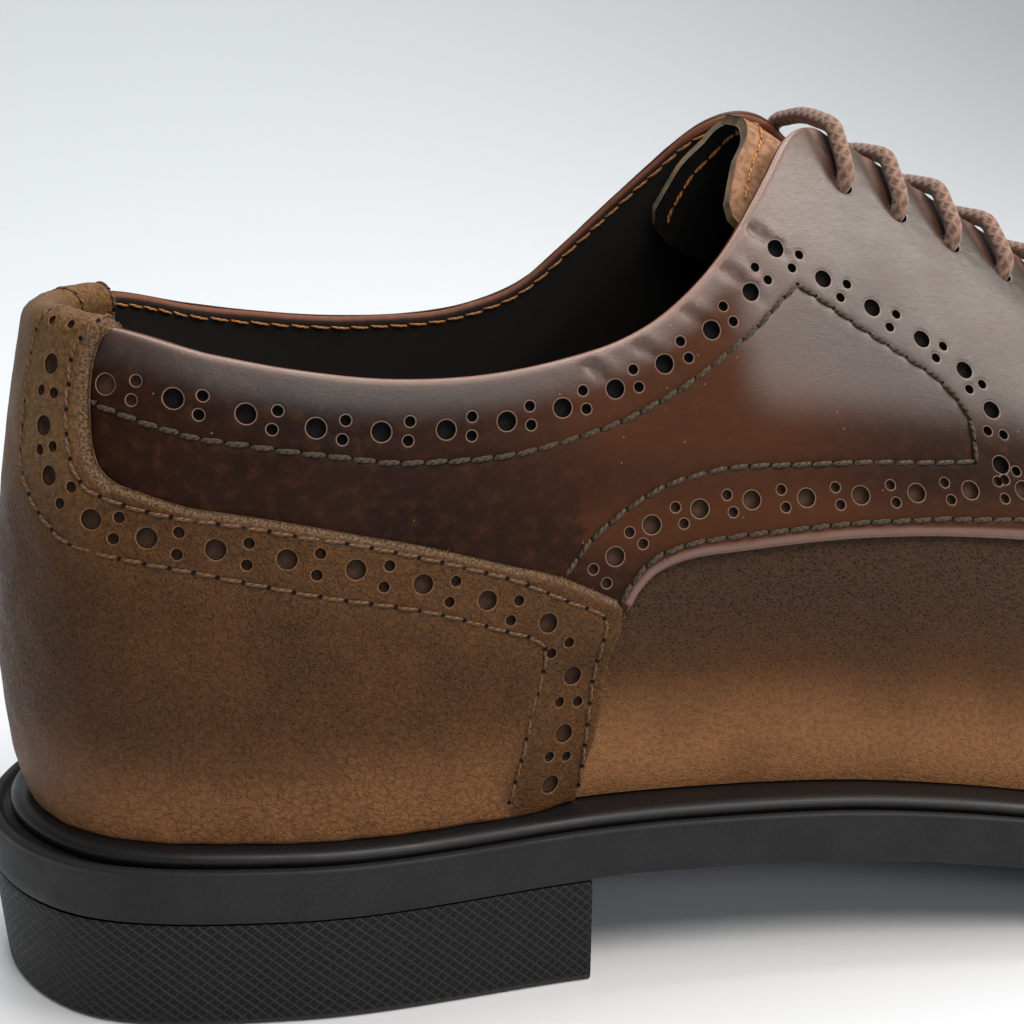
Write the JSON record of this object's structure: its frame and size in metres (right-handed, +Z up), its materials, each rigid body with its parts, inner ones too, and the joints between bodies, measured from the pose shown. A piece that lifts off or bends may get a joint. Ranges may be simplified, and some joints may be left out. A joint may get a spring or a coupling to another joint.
{
  "type": "laced brogue shoe",
  "caption": "Low laced leather dress shoe with punched quarters and heel counter, bead welt, rubber sole with arch and low block heel.",
  "frame": {"origin": "middle of the heel's flat underside, on the floor", "axes": "+X toward the toe, +Y toward the inner side of the foot, +Z up"},
  "size_m": [0.2964, 0.1, 0.1199],
  "materials": {
    "sole_rubber": "black moulded rubber, satin",
    "heel_rubber": "black moulded rubber with a fine diamond texture",
    "welt_rubber": "black rubber bead, semi-gloss",
    "sock_leather": "dark matt sock leather",
    "vamp_leather": "tan grained leather, rubbed darker at the seams",
    "quarter_leather": "dark red-brown polished calf",
    "counter_leather": "tan grained leather with raw edges",
    "tongue_leather": "tan leather with a hairy flesh side and dark edge",
    "lace_cord": "round woven cotton lace, brown",
    "stitching": "waxed thread",
    "lining_leather": "near-black lining leather"
  },
  "bodies": {
    "root": {"outsole": "sole_rubber", "heel": "heel_rubber", "welt": "welt_rubber", "insole": "sock_leather", "upper": "vamp_leather", "quarter_lateral": "quarter_leather", "quarter_medial": "quarter_leather", "heel_counter": "counter_leather", "tongue": "tongue_leather", "laces": "lace_cord"}
  },
  "joints": []
}
